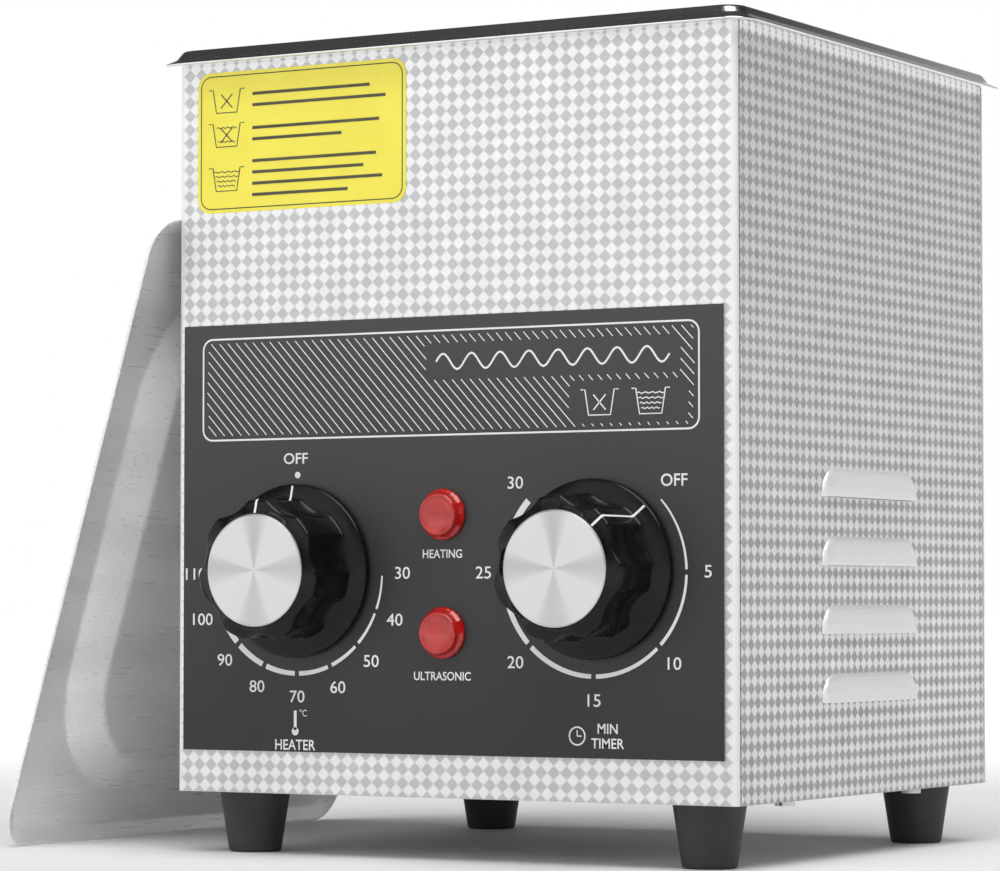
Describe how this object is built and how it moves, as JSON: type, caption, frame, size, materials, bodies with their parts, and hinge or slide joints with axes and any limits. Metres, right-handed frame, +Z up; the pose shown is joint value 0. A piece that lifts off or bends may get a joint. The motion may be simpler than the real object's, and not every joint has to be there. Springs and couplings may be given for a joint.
{
  "type": "ultrasonic cleaner",
  "caption": "Bench-top ultrasonic cleaner: boxy patterned steel casing with open tank, dark control panel with dials and lamps, side louvres, rubber feet and a lid leaning on its left wall.",
  "frame": {"origin": "on the table, under the middle of the whole object's box, the leaning lid and the knobs included", "axes": "+Z up, the control panel faces -Y, +X to the right of someone facing the panel"},
  "size_m": [0.2326, 0.1853, 0.221],
  "materials": {
    "embossed_steel": "embossed diamond pattern, satin",
    "plain_steel": "plain satin sheet",
    "tank_steel": "drawn and polished",
    "lid_steel": "mirror polished stainless steel",
    "silicone": "soft matte",
    "silicone_orange": "soft matte",
    "panel_film": "smooth satin dark grey with white printing",
    "yellow_film": "printed film",
    "zinc_screw": "zinc plated",
    "knob_black": "satin moulded",
    "spun_aluminium": "spun, radial sheen",
    "control_housing": "moulded",
    "copper": "drawn copper",
    "lamp_red": "clear red moulded lens",
    "lamp_holder": "moulded nylon",
    "cast_aluminium": "turned",
    "piezo_ceramic": "fired, silvered faces",
    "circuit_board": "solder resist",
    "brass": "turned",
    "black_resin": "moulded",
    "red_resin": "dipped resin",
    "wire_cover": "extruded cover",
    "foot_rubber": "matte moulded rubber",
    "handle_plastic": "moulded, satin"
  },
  "bodies": {
    "cleaner": {"front_panel": "embossed_steel", "rear_panel": "embossed_steel", "left_panel": "embossed_steel", "right_panel": "embossed_steel", "bottom_plate": "plain_steel", "foot_front_left": "foot_rubber", "foot_front_right": "foot_rubber", "foot_rear_left": "foot_rubber", "foot_rear_right": "foot_rubber", "foot_screws": "zinc_screw", "base_screws": "zinc_screw", "tank": "tank_steel", "rim_gasket": "silicone", "control_panel": "panel_film", "caution_label": "yellow_film", "thermostat_body": "control_housing", "heater_bush_nut": "zinc_screw", "thermostat_bulb": "copper", "thermostat_capillary": "copper", "bulb_clip": "plain_steel", "timer_body": "control_housing", "timer_bush_nut": "zinc_screw", "heating_lamp_lens": "lamp_red", "heating_lamp_body": "lamp_holder", "ultrasonic_lamp_lens": "lamp_red", "ultrasonic_lamp_body": "lamp_holder", "lamp_nuts": "zinc_screw", "heater_pad": "silicone_orange", "transducer_front_mass": "cast_aluminium", "piezo_rings": "piezo_ceramic", "piezo_electrodes": "copper", "transducer_back_mass": "plain_steel", "transducer_bolt": "zinc_screw", "driver_board": "circuit_board", "board_standoffs": "brass", "board_screws": "zinc_screw", "heatsink": "cast_aluminium", "power_transistors": "black_resin", "output_toroid": "copper", "film_capacitors": "red_resin", "power_inlet": "black_resin", "inlet_pins": "brass", "inlet_screws": "zinc_screw", "mains_lead": "wire_cover", "transducer_leads": "wire_cover", "earth_stud": "brass"},
    "heater_dial": {"heater_knob": "knob_black", "heater_knob_cap": "spun_aluminium", "heater_shaft": "zinc_screw"},
    "timer_dial": {"timer_knob": "knob_black", "timer_knob_cap": "spun_aluminium", "timer_shaft": "zinc_screw"},
    "lid": {"lid_shell": "lid_steel", "lid_handle": "handle_plastic", "lid_handle_screws": "zinc_screw"}
  },
  "joints": [
    {"name": "heater_turn", "type": "hinge", "parent": "cleaner", "child": "heater_dial", "pos_m": [-0.02149, -0.07095, 0.077], "axis": [0, 1, 0], "range_deg": [0, 270]},
    {"name": "timer_turn", "type": "hinge", "parent": "cleaner", "child": "timer_dial", "pos_m": [0.07011, -0.07095, 0.077], "axis": [0, 1, 0], "range_deg": [0, 270]},
    {"name": "lid_lift", "type": "slide", "parent": "cleaner", "child": "lid", "axis": [-0.5, 0, 0.866], "range_m": [0, 0.12]}
  ]
}
